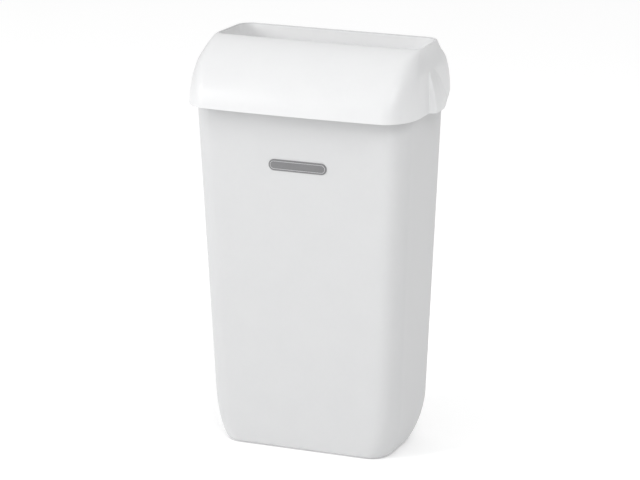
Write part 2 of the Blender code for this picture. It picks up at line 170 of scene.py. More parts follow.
@dataclass(frozen=True)
class MattRubber(Finish):
    """Matt rubber: a dusty mottle and a coarse skin."""

    dust: tuple[float, float, float] = (0.3, 0.3, 0.3)
    mottle_scale: float = 400.0
    pit_scale: float = 1800.0
    pit_depth: float = 0.00005
    rougher: float = 0.1

    def dress(self, tree: Tree) -> None:
        """Add a dusty mottle and a pitted bump.

        Args:
            tree: The material's node tree.
        """
        shader = shader_of(tree)
        place = object_coordinates(tree)
        mottle = noise(tree, place, self.mottle_scale, detail=4.0)
        colour = ramp(tree, mottle, [(0.4, self.colour), (0.75, self.dust)])
        link(tree, colour, shader.inputs["Base Color"])
        low, high = self.roughness - self.rougher, self.roughness + self.rougher
        link(tree, map_range(tree, mottle, *NOISE_SPAN, low, high), shader.inputs["Roughness"])
        pits = noise(tree, place, self.pit_scale, detail=2.0)
        link(tree, bump(tree, pits, self.pit_depth, None), shader.inputs["Normal"])


@dataclass(frozen=True)
class StudioPaint(Finish):
    """The studio floor's even matt paint."""

    glow: float = 0.18
    fainter: float = 0.995

    def dress(self, tree: Tree) -> None:
        """Set an even matt colour with a trace of mottle.

        Args:
            tree: The material's node tree.
        """
        shader = shader_of(tree)
        mottle = noise(tree, object_coordinates(tree), 2.0, detail=2.0)
        faint = tuple(part * self.fainter for part in self.colour)
        link(tree, ramp(tree, mottle, [(0.3, faint), (0.7, self.colour)]), shader.inputs["Base Color"])
        shader.inputs["Roughness"].default_value = self.roughness
        shader.inputs["Specular IOR Level"].default_value = 0.0
        shader.inputs["Emission Color"].default_value = (1.0, 1.0, 1.0, 1.0)
        shader.inputs["Emission Strength"].default_value = self.glow


TUB_WHITE = MouldedPlastic(
    "tub_white_plastic", "white_tub", (0.61, 0.613, 0.617), 0.40, tint=(0.598, 0.601, 0.606)
)
HOOD_WHITE = MouldedPlastic(
    "hood_white_plastic",
    "white_hood",
    (0.735, 0.738, 0.742),
    0.37,
    tint=(0.722, 0.725, 0.73),
    grain_depth=0.000004,
)
# A much brighter copy of the hood's white for the collar inside the mouth: painted light that lifts the
# shaded inner walls of the mouth.
MOUTH_PAINTED_LIGHT_WHITE = MouldedPlastic(
    "mouth_painted_light_plastic",
    "white_hood",
    (0.95, 0.952, 0.955),
    0.40,
    tint=(0.94, 0.942, 0.945),
    grain_depth=0.000004,
)
RING_WHITE = MouldedPlastic(
    "ring_white_plastic",
    "white_ring",
    (0.80, 0.81, 0.82),
    0.45,
    tint=(0.78, 0.79, 0.80),
    grain_depth=0.00004,
)
PLATE_GREY = MouldedPlastic(
    "plate_grey_plastic",
    "grey_plate",
    (0.20, 0.20, 0.205),
    0.42,
    tint=(0.175, 0.175, 0.18),
    grain_size=0.0005,
)
PLATE_LINE = MouldedPlastic(
    "plate_line_plastic",
    "grey_plate",
    (0.62, 0.62, 0.63),
    0.40,
    tint=(0.58, 0.58, 0.59),
    grain_size=0.0005,
)
HOOK_STEEL = PlatedSteel("hook_zinc_steel", "zinc_steel", (0.62, 0.63, 0.65), 0.34)
PAD_RUBBER = MattRubber("pad_grey_rubber", "grey_rubber", (0.2, 0.2, 0.2), 0.8)
FLOOR_WHITE = StudioPaint("studio_floor_paint", "", (0.95, 0.95, 0.95), 1.0)


# Nodes


def shader_of(tree: Tree) -> bpy.types.Node:
    """Return the material's Principled shader."""
    return tree.nodes["Principled BSDF"]


def link(tree: Tree, source: Socket, target: Socket) -> None:
    """Join two sockets."""
    tree.links.new(source, target)


def object_coordinates(tree: Tree) -> Socket:
    """Return the place on the piece, in metres."""
    return tree.nodes.new("ShaderNodeTexCoord").outputs["Object"]


def object_direction(tree: Tree) -> Socket:
    """Return the direction of a ray that meets the world."""
    return tree.nodes.new("ShaderNodeTexCoord").outputs["Generated"]


def mapping(
    tree: Tree, place: Socket, scale: tuple[float, float, float]
) -> Socket:
    """Stretch a place by a scale along each axis.

    Args:
        tree: The node tree.
        place: The coordinates to stretch.
        scale: The factor along X, Y and Z.

    Returns:
        The stretched coordinates.
    """
    node = tree.nodes.new("ShaderNodeMapping")
    node.inputs["Scale"].default_value = scale
    link(tree, place, node.inputs["Vector"])
    return node.outputs["Vector"]


def noise(
    tree: Tree, place: Socket, scale: float, detail: float
) -> Socket:
    """Add a noise texture.

    Args:
        tree: The node tree.
        place: The coordinates it reads.
        scale: Features per metre.
        detail: How many finer octaves it holds.

    Returns:
        The noise value, about 0.5 on average.
    """
    node = tree.nodes.new("ShaderNodeTexNoise")
    node.inputs["Scale"].default_value = scale
    node.inputs["Detail"].default_value = detail
    link(tree, place, node.inputs["Vector"])
    return node.outputs["Fac"]


def mix_values(
    tree: Tree, first: Socket, second: Socket, share: float
) -> Socket:
    """Blend two values.

    Args:
        tree: The node tree.
        first: The value at share 0.
        second: The value at share 1.
        share: The blend.

    Returns:
        The blended value.
    """
    node = tree.nodes.new("ShaderNodeMix")
    node.data_type = "FLOAT"
    node.inputs["Factor"].default_value = share
    link(tree, first, node.inputs["A"])
    link(tree, second, node.inputs["B"])
    return node.outputs["Result"]


def map_range(
    tree: Tree,
    value: Socket,
    from_low: float,
    from_high: float,
    to_low: float,
    to_high: float,
) -> Socket:
    """Carry a value from one range to another.

    Args:
        tree: The node tree.
        value: The value to carry.
        from_low: The source range's start.
        from_high: The source range's end.
        to_low: The result at the start.
        to_high: The result at the end.

    Returns:
        The carried value.
    """
    node = tree.nodes.new("ShaderNodeMapRange")
    numbers = (from_low, from_high, to_low, to_high)
    for name, number in zip(("From Min", "From Max", "To Min", "To Max"), numbers):
        node.inputs[name].default_value = number
    link(tree, value, node.inputs["Value"])
    return node.outputs["Result"]


def ramp(
    tree: Tree,
    value: Socket,
    stops: list[tuple[float, tuple[float, float, float]]],
) -> Socket:
    """Turn a value into a colour between two stops.

    Args:
        tree: The node tree.
        value: The value to colour.
        stops: Two pairs of a position and a colour.

    Returns:
        The colour.
    """
    node = tree.nodes.new("ShaderNodeValToRGB")
    for element, (position, colour) in zip(node.color_ramp.elements, stops):
        element.position = position
        element.color = (*colour, 1.0)
    link(tree, value, node.inputs["Fac"])
    return node.outputs["Color"]


def bump(
    tree: Tree,
    height: Socket,
    depth: float,
    normal: Socket | None,
) -> Socket:
    """Tilt the surface normal by a height value.

    Args:
        tree: The node tree.
        height: The height, from 0 to 1.
        depth: What a height of 1 measures, in metres.
        normal: A normal to start from.

    Returns:
        The tilted normal.
    """
    node = tree.nodes.new("ShaderNodeBump")
    node.inputs["Distance"].default_value = depth
    node.inputs["Strength"].default_value = 1.0
    link(tree, height, node.inputs["Height"])
    if normal is not None:
        link(tree, normal, node.inputs["Normal"])
    return node.outputs["Normal"]


# Meshes


def arc(
    centre: tuple[float, float], radius: float, start: float, end: float, count: int, longer: float = 1.0
) -> np.ndarray:
    """Points of an arc: the centre plus radius times (cosine, longer times sine) of even angles.

    Args:
        centre: The arc's centre.
        radius: The arc's radius.
        start: The first angle, in degrees.
        end: The last angle, in degrees.
        count: How many points, both ends included.
        longer: How many times longer the arc is along Y than across.

    Returns:
        An array of count rows of two numbers.
    """
    angles = np.radians(np.linspace(start, end, count))
    x = centre[0] + radius * np.cos(angles)
    return np.stack([x, centre[1] + radius * longer * np.sin(angles)], axis=1)


def circle(centre: tuple[float, float], radius: float, count: int) -> np.ndarray:
    """Points of a whole circle, without its start twice."""
    return arc(centre, radius, 0.0, 360.0 * (count - 1) / count, count)


def stretch(start: np.ndarray, end: np.ndarray, count: int) -> np.ndarray:
    """Inner points of a straight edge, both ends left out: start plus an even share of the way."""
    shares = np.linspace(0.0, 1.0, count + 2)[1:-1, None]
    return start + (end - start) * shares


def grid_object(
    name: str, grid: np.ndarray, finish: Finish, loop: bool = False, caps: bool = False
) -> Piece:
    """Make a mesh object from a grid of rings.

    The rings close on themselves. Point (i, j) of the grid is joined to its four neighbours by
    quads: (i, j), (i, j+1), (i+1, j+1), (i+1, j).

    Args:
        name: The object's name.
        grid: An array of rings by points by three.
        finish: The finish that it takes.
        loop: Whether the last ring joins the first.
        caps: Whether the first and the last ring are closed by a fan to their middle.

    Returns:
        The new object.
    """
    rings, count = grid.shape[:2]
    index = np.arange(rings * count).reshape(rings, count)
    lower = index if loop else index[:-1]
    upper = np.roll(index, -1, axis=0) if loop else index[1:]
    quads = np.stack([lower, np.roll(lower, -1, 1), np.roll(upper, -1, 1), upper], axis=-1)
    faces = quads.reshape(-1, 4).tolist()
    points = grid.reshape(-1, 3)
    if caps:
        first, last = rings * count, rings * count + 1
        points = np.concatenate([points, grid[:1].mean(axis=1), grid[-1:].mean(axis=1)])
        low_fan = np.stack([index[0], np.full(count, first), np.roll(index[0], -1)], axis=1)
        high_fan = np.stack([index[-1], np.roll(index[-1], -1), np.full(count, last)], axis=1)
        faces += low_fan.tolist() + high_fan.tolist()
    mesh = bpy.data.meshes.new(name)
    mesh.from_pydata(points.tolist(), [], faces)
    mesh.update()
    return shown(name, mesh, finish)


def shown(name: str, mesh: bpy.types.Mesh, finish: Finish) -> Piece:
    """Put a mesh in the scene with its finish, smooth shaded.

    Args:
        name: The object's name.
        mesh: Its mesh.
        finish: Its finish.

    Returns:
        The new object.
    """
    mesh.materials.append(material_for(finish))
    smooth(mesh)
    made = bpy.data.objects.new(name, mesh)
    bpy.context.scene.collection.objects.link(made)
    return made


def smooth(mesh: bpy.types.Mesh) -> None:
    """Shade a mesh smooth, with sharp edges where its faces meet at more than the sharp angle."""
    mesh.shade_smooth()
    mesh.set_sharp_from_angle(angle=SHARP_ANGLE)


def material_for(finish: Finish) -> bpy.types.Material:
    """Return the finish's material, made once."""
    return bpy.data.materials.get(finish.name) or finish.build()


def seat(piece: Piece, body: Body, finish: Finish, *nodes: str) -> None:
    """Let a piece ride on a body and stand for CAD nodes.

    Args:
        piece: The piece.
        body: The body that carries it.
        finish: Not used.
        *nodes: The CAD nodes that it replaces.
    """
    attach(piece, body.value)
    if nodes:
        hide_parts(*nodes)
    LOG.info("%s rides on %s, %d faces", piece.name, body.value, len(piece.data.polygons))


def cut(piece: Piece, cutters: list[Piece]) -> None:
    """Subtract cutters from a piece for good, and remove the cutters.

    Args:
        piece: The piece to cut.
        cutters: Closed objects.
    """
    for cutter in cutters:
        modifier = piece.modifiers.new(cutter.name, "BOOLEAN")
        modifier.operation = "DIFFERENCE"
        modifier.solver = "EXACT"
        modifier.object = cutter
    graph = bpy.context.evaluated_depsgraph_get()
    made = bpy.data.meshes.new_from_object(piece.evaluated_get(graph))
    old = piece.data
    piece.modifiers.clear()
    piece.data = made
    bpy.data.meshes.remove(old)
    for cutter in cutters:
        bpy.data.objects.remove(cutter, do_unlink=True)
    smooth(made)


@dataclass
class Oblong:
    """A rounded oblong seen from above, anticlockwise from its front left corner."""

    corner_points: int = 40
    rear_points: int = 18
    front_points: int = 60
    side_points: int = 96
    back_points: int = 48

    def ring(
        self,
        half: float,
        rear_half: float,
        front: float,
        rear: float,
        corner: float,
        rear_corner: float,
        bow: float = 0.0,
        longer: float = 1.0,
    ) -> np.ndarray:
        """Trace the outline: four arcs joined by straight edges, the front edge swollen.

        The swelling is bow times (1 minus the square of x over half), faded out towards the rear
        by the cube of the way to the front.

        Args:
            half: Half the width at the front.
            rear_half: Half the width at the rear.
            front: The front edge's place along Y.
            rear: The rear edge's place along Y.
            corner: The front corners' radius.
            rear_corner: The rear corners' radius.
            bow: How far the front swells.
            longer: How many times longer the front corners are along Y than across.

        Returns:
            An array of points by two.
        """
        count, rear_count = self.corner_points, self.rear_points
        front_y = front + corner * longer
        left_front = arc((-half + corner, front_y), corner, 180.0, 270.0, count, longer)
        right_front = arc((half - corner, front_y), corner, 270.0, 360.0, count, longer)
        rear_y = rear - rear_corner
        right_rear = arc((rear_half - rear_corner, rear_y), rear_corner, 0.0, 90.0, rear_count)
        left_rear = arc((-rear_half + rear_corner, rear_y), rear_corner, 90.0, 180.0, rear_count)
        points = np.concatenate(
            [
                left_front,
                stretch(left_front[-1], right_front[0], self.front_points),
                right_front,
                stretch(right_front[-1], right_rear[0], self.side_points),
                right_rear,
                stretch(right_rear[-1], left_rear[0], self.back_points),
                left_rear,
                stretch(left_rear[-1], left_front[0], self.side_points),
            ]
        )
        across = np.clip(1.0 - (points[:, 0] / half) ** 2, 0.0, 1.0)
        forward = np.clip((rear - points[:, 1]) / (rear - front), 0.0, 1.0) ** 3
        points[:, 1] -= bow * across * forward
        return points


def lifted(points: np.ndarray, height: np.ndarray | float) -> np.ndarray:
    """A flat outline raised to one height, or to one height for each point."""
    return np.column_stack([points, np.broadcast_to(height, len(points))])


def smoothstep(share: np.ndarray) -> np.ndarray:
    """Ease from 0 to 1: three times the square of the share less twice its cube."""
    share = np.clip(share, 0.0, 1.0)
    return share * share * (3.0 - 2.0 * share)


def shifted_in(grid: np.ndarray, distance: float) -> np.ndarray:
    """Move a grid of rings inwards along its normals.

    The normal is the cross product of the step to the next ring and the step along the ring.

    Args:
        grid: Rings from the top down, each anticlockwise from above.
        distance: How far.

    Returns:
        The moved grid.
    """
    along = np.roll(grid, -1, axis=1) - np.roll(grid, 1, axis=1)
    down = np.gradient(grid, axis=0)
    normals = np.cross(down, along)
    normals /= np.linalg.norm(normals, axis=2, keepdims=True)
    return grid - normals * distance


# Sub-assemblies


@dataclass
class Hood:
    """The hood lid: pillow-shaped skin, mouth with its collar, carrying ribs and finger grips."""

    skin: float = 0.0025
    bow: float = 0.0055
    corner: float = 0.0365
    corner_longer: float = 1.42
    corner_power: float = 1.5
    rear_corner: float = 0.012
    rear_rise: float = 0.026
    back_rise: float = 0.010
    rise_blend: float = 0.040
    rise_blend_in: float = 0.049
    rise_length: float = 0.0255
    rise_power: float = 1.2
    rim_side_inset: float = 0.0148
    rim_front_inset: float = 0.0881
    rim_bow: float = 0.0036
    rim_narrowing: float = 0.0025
    rim_corner: float = 0.0115
    rim_rear_corner: float = 0.021
    rim_radius: float = 0.0009
    side_hold: float = 0.54
    side_hold_cosine: float = 0.62
    grip_out: float = 0.0095
    grip_height: float = 0.056
    grip_from_rear: float = 0.0665
    grip_front_reach: float = 0.0255
    grip_rear_reach: float = 0.043
    grip_front_power: float = 3.5
    grip_rear_power: float = 1.4
    grip_flank: float = 0.55
    flare_power: float = 4.0 / 3.0
    flare_rows: int = 72
    flare_spacing: float = 1.15
    lip_depths: tuple[float, float] = (0.0025, 0.0045)
    inside_from: float = 24.0
    edge_hang: float = 0.12
    collar_wall: float = 0.0022
    collar_drop: float = 0.058
    collar_proud: float = 0.00012
    collar_below_rim: float = 0.0016
    collar_rows: int = 12
    rib_thickness: float = 0.0024
    rib_height: float = 0.036
    rib_collar_lap: float = 0.002
    rib_rows: int = 12
    rib_foot_reach: float = 0.0068
    side_rib_from_rear: float = 0.110
    front_rib_spacing: float = 0.190
    seat_gap: float = 0.0003
    oblong: Oblong = field(default_factory=Oblong)

    def __post_init__(self) -> None:
        """Read the hood's box and the ring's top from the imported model."""
        low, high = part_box("hood_lid")
        self.low, self.top = low.z, high.z
        self.rear = high.y
        self.half = high.x - self.grip_out
        self.depth = high.y - low.y - self.bow
        self.ring_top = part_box("bag_ring")[1].z

    def outline(self, angle: float, grow: float = 0.0) -> np.ndarray:
        """The hood's outline at an angle of its flare.

        The front follows a power of the sine of the angle, and the sides follow side_share().

        Args:
            angle: 0 at the rim and a quarter turn at the lower edge.
            grow: How far the outline moves outwards.

        Returns:
            An array of points by two.
        """
        share, side = math.sin(angle) ** self.flare_power, self.side_share(angle)
        half = self.half - self.rim_side_inset * (1.0 - side) + grow
        depth = self.depth - self.rim_front_inset * (1.0 - share)
        return self.oblong.ring(
            half,
            half - self.rim_narrowing * (1.0 - side),
            self.rear - depth - grow,
            self.rear + grow,
            self.rim_corner + (self.corner - self.rim_corner) * share**self.corner_power + grow,
            self.rim_rear_corner + (self.rear_corner - self.rim_rear_corner) * side + grow,
            self.rim_bow + (self.bow - self.rim_bow) * share,
            self.corner_longer,
        )

    def side_share(self, angle: float) -> float:
        """How far the sides have flared: the sine's power, held back by a smooth step near the rim."""
        near_rim = (math.cos(angle) - self.side_hold_cosine) / (1.0 - self.side_hold_cosine)
        held = 1.0 - self.side_hold * float(smoothstep(np.array(near_rim)))
        return math.sin(angle) ** self.flare_power * held

    def rise(self, flat: np.ndarray) -> np.ndarray:
        """How far the lower edge is lifted: most at the rear corners, less along the back wall.

        It is a power of the way to the back wall, times a height that a smooth step takes from
        the back wall's to the corner's.

        Args:
            flat: Points of the outline.

        Returns:
            The rise at each point.
        """
        share = np.clip((flat[:, 1] - self.rear + self.rise_length) / self.rise_length, 0.0, 1.0)
        inner = self.half - self.rim_side_inset - self.rise_blend_in
        at_corner = smoothstep((np.abs(flat[:, 0]) - inner) / self.rise_blend)
        return share**self.rise_power * (self.back_rise + (self.rear_rise - self.back_rise) * at_corner)

    def grips(self, grid: np.ndarray) -> np.ndarray:
        """The sideways shift that the finger grips give the points of a grid of rings.

        With v the height over the lower edge as a share of the grip's height, the grip reaches
        (1 - v^p)^(1/p) of its full length ahead of its apex, and the same with its own power
        behind. It stands out by (1 - v^2), times a smooth step up its front flank, times
        (1 - s^p) behind, where s is the share of the rear reach.

        Args:
            grid: Rings of points of the plain skin.

        Returns:
            A shift for each point.
        """
        up = np.clip((grid[..., 2] - self.low) / self.grip_height, 0.0, 1.0)
        offset = grid[..., 1] - (self.rear - self.grip_from_rear)
        front, rear = self.grip_front_power, self.grip_rear_power
        front_reach = self.grip_front_reach * (1.0 - up**front) ** (1.0 / front)
        rear_reach = self.grip_rear_reach * (1.0 - up**rear) ** (1.0 / rear)
        ahead = np.clip(-offset / np.maximum(front_reach, 1e-6), 0.0, 1.0)
        behind = np.clip(offset / np.maximum(rear_reach, 1e-6), 0.0, 1.0)
        out = self.grip_out * (1.0 - up**2) * (1.0 - behind**rear)
        out *= smoothstep((1.0 - ahead**front) / self.grip_flank)
        on_side = np.abs(grid[..., 0]) > self.half - self.rim_side_inset - self.rim_narrowing
        shift = np.zeros_like(grid)
        shift[..., 0] = out * on_side * np.sign(grid[..., 0])
        return shift

    def outer_ring(self, angle: float) -> np.ndarray:
        """One level of the skin's outside, without the grips.

        The drop below the rim is the hood's height times (1 - cosine), and the first of it
        follows the rim's rounding.

        Args:
            angle: 0 at the rim and a quarter turn at the lower edge.

        Returns:
            An array of points by three.
        """
        height = self.top - self.low
        drop = height * (1.0 - math.cos(angle))
        edge = max(0.0, 1.0 - drop / self.rim_radius)
        rounding = self.rim_radius * (1.0 - math.sqrt(1.0 - edge * edge))
        flat = self.outline(angle, -rounding)
        full = height - self.rise(flat)
        return lifted(flat, self.top - full * (1.0 - math.cos(angle)))

    def build_skin(self) -> Piece:
        """Build the skin: outside, rounded rim, inside of the mouth, inside and rounded lower edge.

        Returns:
            The skin as a closed shell.
        """
        angles = QUARTER * np.linspace(0.0, 1.0, self.flare_rows) ** self.flare_spacing
        plain = np.stack([self.outer_ring(float(angle)) for angle in angles])
        grips = self.grips(plain)
        outside = plain + grips
        inside = shifted_in(plain, self.skin) + grips
        inside[-1, :, 2] = outside[-1, :, 2]
        rows = list(outside[::-1])
        radius = self.rim_radius
        rounding = arc((self.skin - radius, self.top - radius), radius, 90.0, 0.0, ROUND_STEPS)
        rows += [lifted(self.outline(0.0, -inset), z) for inset, z in rounding]
        mouth = self.outline(0.0, -self.skin)
        rows += [lifted(mouth, self.top - depth) for depth in self.lip_depths]
        first = int(np.argmax(angles > math.radians(self.inside_from)))
        rows += list(inside[first:])
        grid = np.concatenate([np.stack(rows), self.lower_edge(inside[-1], outside[-1])])
        return grid_object("hood_skin", grid, HOOD_WHITE, loop=True)

    def lower_edge(self, inner: np.ndarray, outer: np.ndarray) -> np.ndarray:
        """Rings of the rounded lower edge, from the inner to the outer skin.

        Each ring lies between the two edges at half of (1 - cosine) of the turn, and hangs below
        them by a share of the skin times the sine of the turn, but not below the hood's box.

        Args:
            inner: The inner skin's last ring.
            outer: The outer skin's last ring.

        Returns:
            An array of rings by points by three.
        """
        turns = np.linspace(0.0, math.pi, 7)[1:-1]
        across = 0.5 * (1.0 - np.cos(turns))[:, None, None]
        rings = inner + (outer - inner) * across
        rings[:, :, 2] -= self.edge_hang * self.skin * np.sin(turns)[:, None]
        return np.maximum(rings, [-np.inf, -np.inf, self.low])

    def build_collar(self) -> Piece:
        """Build the collar: an upright tube inside the mouth with a rounded lower edge. It takes a much
        brighter copy of the hood's white, which paints light onto the mouth's shaded inner walls.

        Returns:
            The collar as a closed shell.
        """
        proud = self.skin + self.collar_proud
        back = proud - self.collar_wall
        radius = self.collar_wall / 2.0
        top, low = self.top - self.collar_below_rim, self.top - self.collar_drop
        levels = np.linspace(low + radius, top, self.collar_rows)
        rows = [lifted(self.outline(0.0, -back), z) for z in levels]
        rows += [lifted(self.outline(0.0, -proud), z) for z in levels[::-1]]
        rounding = arc((back + radius, low + radius), radius, 0.0, -180.0, 9)[1:-1]
        rows += [lifted(self.outline(0.0, -inset), z) for inset, z in rounding]
        return grid_object("hood_collar", np.stack(rows), MOUTH_PAINTED_LIGHT_WHITE, loop=True)

    def reach(self, heights: np.ndarray, inset: float, full: float) -> np.ndarray:
        """How far the skin reaches at some heights, from the same sine rule as the outside.

        Args:
            heights: The heights.
            inset: How much less it reaches at the rim.
            full: Its reach at the lower edge.

        Returns:
            The reach at each height.
        """
        angle = np.arccos(1.0 - (self.top - heights) / (self.top - self.low))
        return full - inset * (1.0 - np.sin(angle) ** self.flare_power)

    def build_ribs(self) -> list[Piece]:
        """Build the four ribs that carry the hood on the ring.

        Returns:
            The ribs.
        """
        low = self.ring_top + self.seat_gap
        heights = np.linspace(low, low + self.rib_height, self.rib_rows)
        arch = self.top - self.collar_drop + self.rib_collar_lap
        rim_half = self.half - self.rim_side_inset
        ring_low, ring_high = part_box("bag_ring")
        side = self.reach(heights, self.rim_side_inset, self.half) - self.skin / 2.0
        swell = 1.0 - (self.front_rib_spacing / (2.0 * self.half)) ** 2
        front_inset = self.rim_front_inset + (self.bow - self.rim_bow) * swell
        front = self.reach(heights, front_inset, self.depth + self.bow * swell) - self.skin / 2.0
        side_seat = ring_high.x - self.rib_foot_reach
        front_seat = self.rear - ring_low.y - self.rib_foot_reach
        made = []
        for sign, name in ((-1.0, "left"), (1.0, "right")):
            flat = self.rib_outline(heights, side, rim_half - self.skin, side_seat, arch)
            centre = self.rear - self.side_rib_from_rear
            made.append(self.rib(f"hood_rib_{name}", flat, sign, centre, along_y=False))
            collar = self.depth + self.bow * swell - front_inset - self.skin / 2.0
            flat = self.rib_outline(heights, front, collar, front_seat, arch)
            centre = sign * self.front_rib_spacing / 2.0
            made.append(self.rib(f"hood_rib_front_{name}", flat, -1.0, centre, along_y=True))
        return made

    def rib_outline(
        self, heights: np.ndarray, skin: np.ndarray, collar: float, foot: float, arch: float
    ) -> np.ndarray:
        """A rib's flat outline, as reach and height.

        Args:
            heights: The heights of its outer edge.
            skin: How far its outer edge reaches at them.
            collar: The reach of the collar.
            foot: The reach where its foot starts on the ring.
            arch: The height of the arch between collar and foot.

        Returns:
            An array of points by two.
        """
        start = [(collar, arch), (foot, arch), (foot, heights[0])]
        return np.array(start + list(zip(skin, heights)) + [(collar, heights[-1])])

    def rib(self, name: str, flat: np.ndarray, sign: float, centre: float, along_y: bool) -> Piece:
        """Push a rib's outline through its thickness.

        Args:
            name: The piece's name.
            flat: Its outline, as reach and height.
            sign: Which way it reaches.
            centre: Its middle across.
            along_y: Whether it reaches along Y.

        Returns:
            The rib.
        """
        rings = []
        for shift in (-self.rib_thickness / 2.0, self.rib_thickness / 2.0):
            across = np.full(len(flat), centre + shift)
            reach = self.rear + sign * flat[:, 0] if along_y else sign * flat[:, 0]
            places = (across, reach) if along_y else (reach, across)
            rings.append(np.column_stack([*places, flat[:, 1]]))
        grid = np.stack(rings)
        mesh = bpy.data.meshes.new(name)
        count = len(flat)
        sides = [(i, (i + 1) % count, count + (i + 1) % count, count + i) for i in range(count)]
        ends = [tuple(reversed(range(count))), tuple(range(count, 2 * count))]
        mesh.from_pydata(grid.reshape(-1, 3).tolist(), [], sides + ends)
        mesh.update()
        piece = shown(name, mesh, HOOD_WHITE)
        outward(piece)
        return piece

    def build(self) -> None:
        """Build the whole hood and seat it on the lid's body."""
        seat(self.build_skin(), Body.LID, HOOD_WHITE, "hood_lid")
        # The collar takes the brighter copy of the hood's white: painted light inside the mouth.
        seat(self.build_collar(), Body.LID, MOUTH_PAINTED_LIGHT_WHITE)
        for piece in self.build_ribs():
            seat(piece, Body.LID, HOOD_WHITE)


def outward(piece: Piece) -> None:
    """Turn a closed piece's faces outwards."""
    shell = bmesh.new()
    shell.from_mesh(piece.data)
    bmesh.ops.recalc_face_normals(shell, faces=shell.faces)
    shell.to_mesh(piece.data)
    shell.free()


